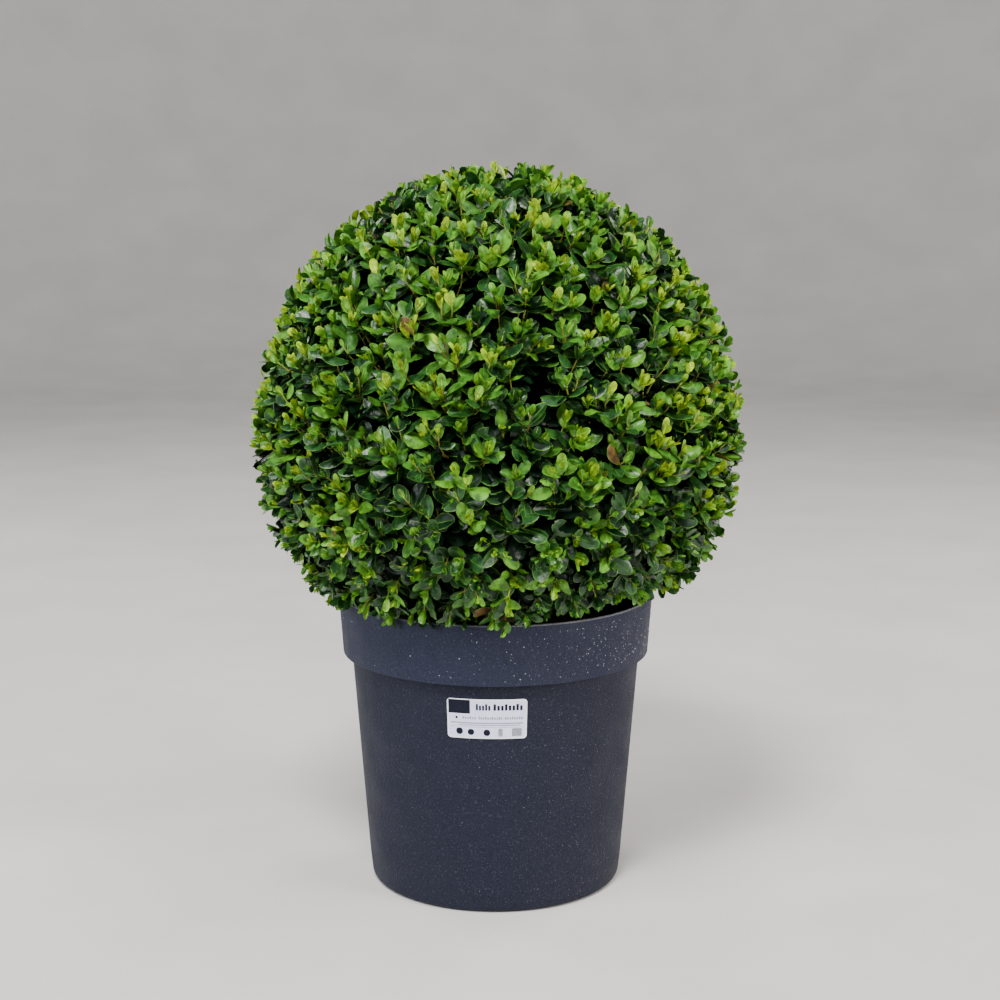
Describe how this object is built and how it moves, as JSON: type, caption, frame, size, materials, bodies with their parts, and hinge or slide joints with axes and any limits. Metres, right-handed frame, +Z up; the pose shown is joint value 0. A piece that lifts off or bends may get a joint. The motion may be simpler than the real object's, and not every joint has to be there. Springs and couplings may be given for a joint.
{
  "type": "box topiary ball in a plastic pot",
  "caption": "Clipped ball of box foliage on a short stem, growing in a round plastic pot with a stepped rim band and a plain label.",
  "frame": {"origin": "the middle of the flat underside of the pot, on the pot's axis", "axes": "+Z up the pot's axis, -Y out of the front of the pot through its label, +X to the right as seen from the front"},
  "size_m": [0.3752, 0.3802, 0.5706],
  "materials": {
    "pot_plastic": "dark blue-grey moulded plastic, fine satin grain",
    "soil": "dark moist bark compost",
    "bark": "pale brown furrowed bark",
    "foliage": "glossy green leaves, yellow-green at the shoot tips",
    "label_paper": "smooth white coated sticker with plain grey marks"
  },
  "bodies": {
    "root": {"pot": "pot_plastic", "potting_soil": "soil", "main_stem": "bark", "foliage_ball": "foliage", "blank_label": "label_paper"}
  },
  "joints": []
}
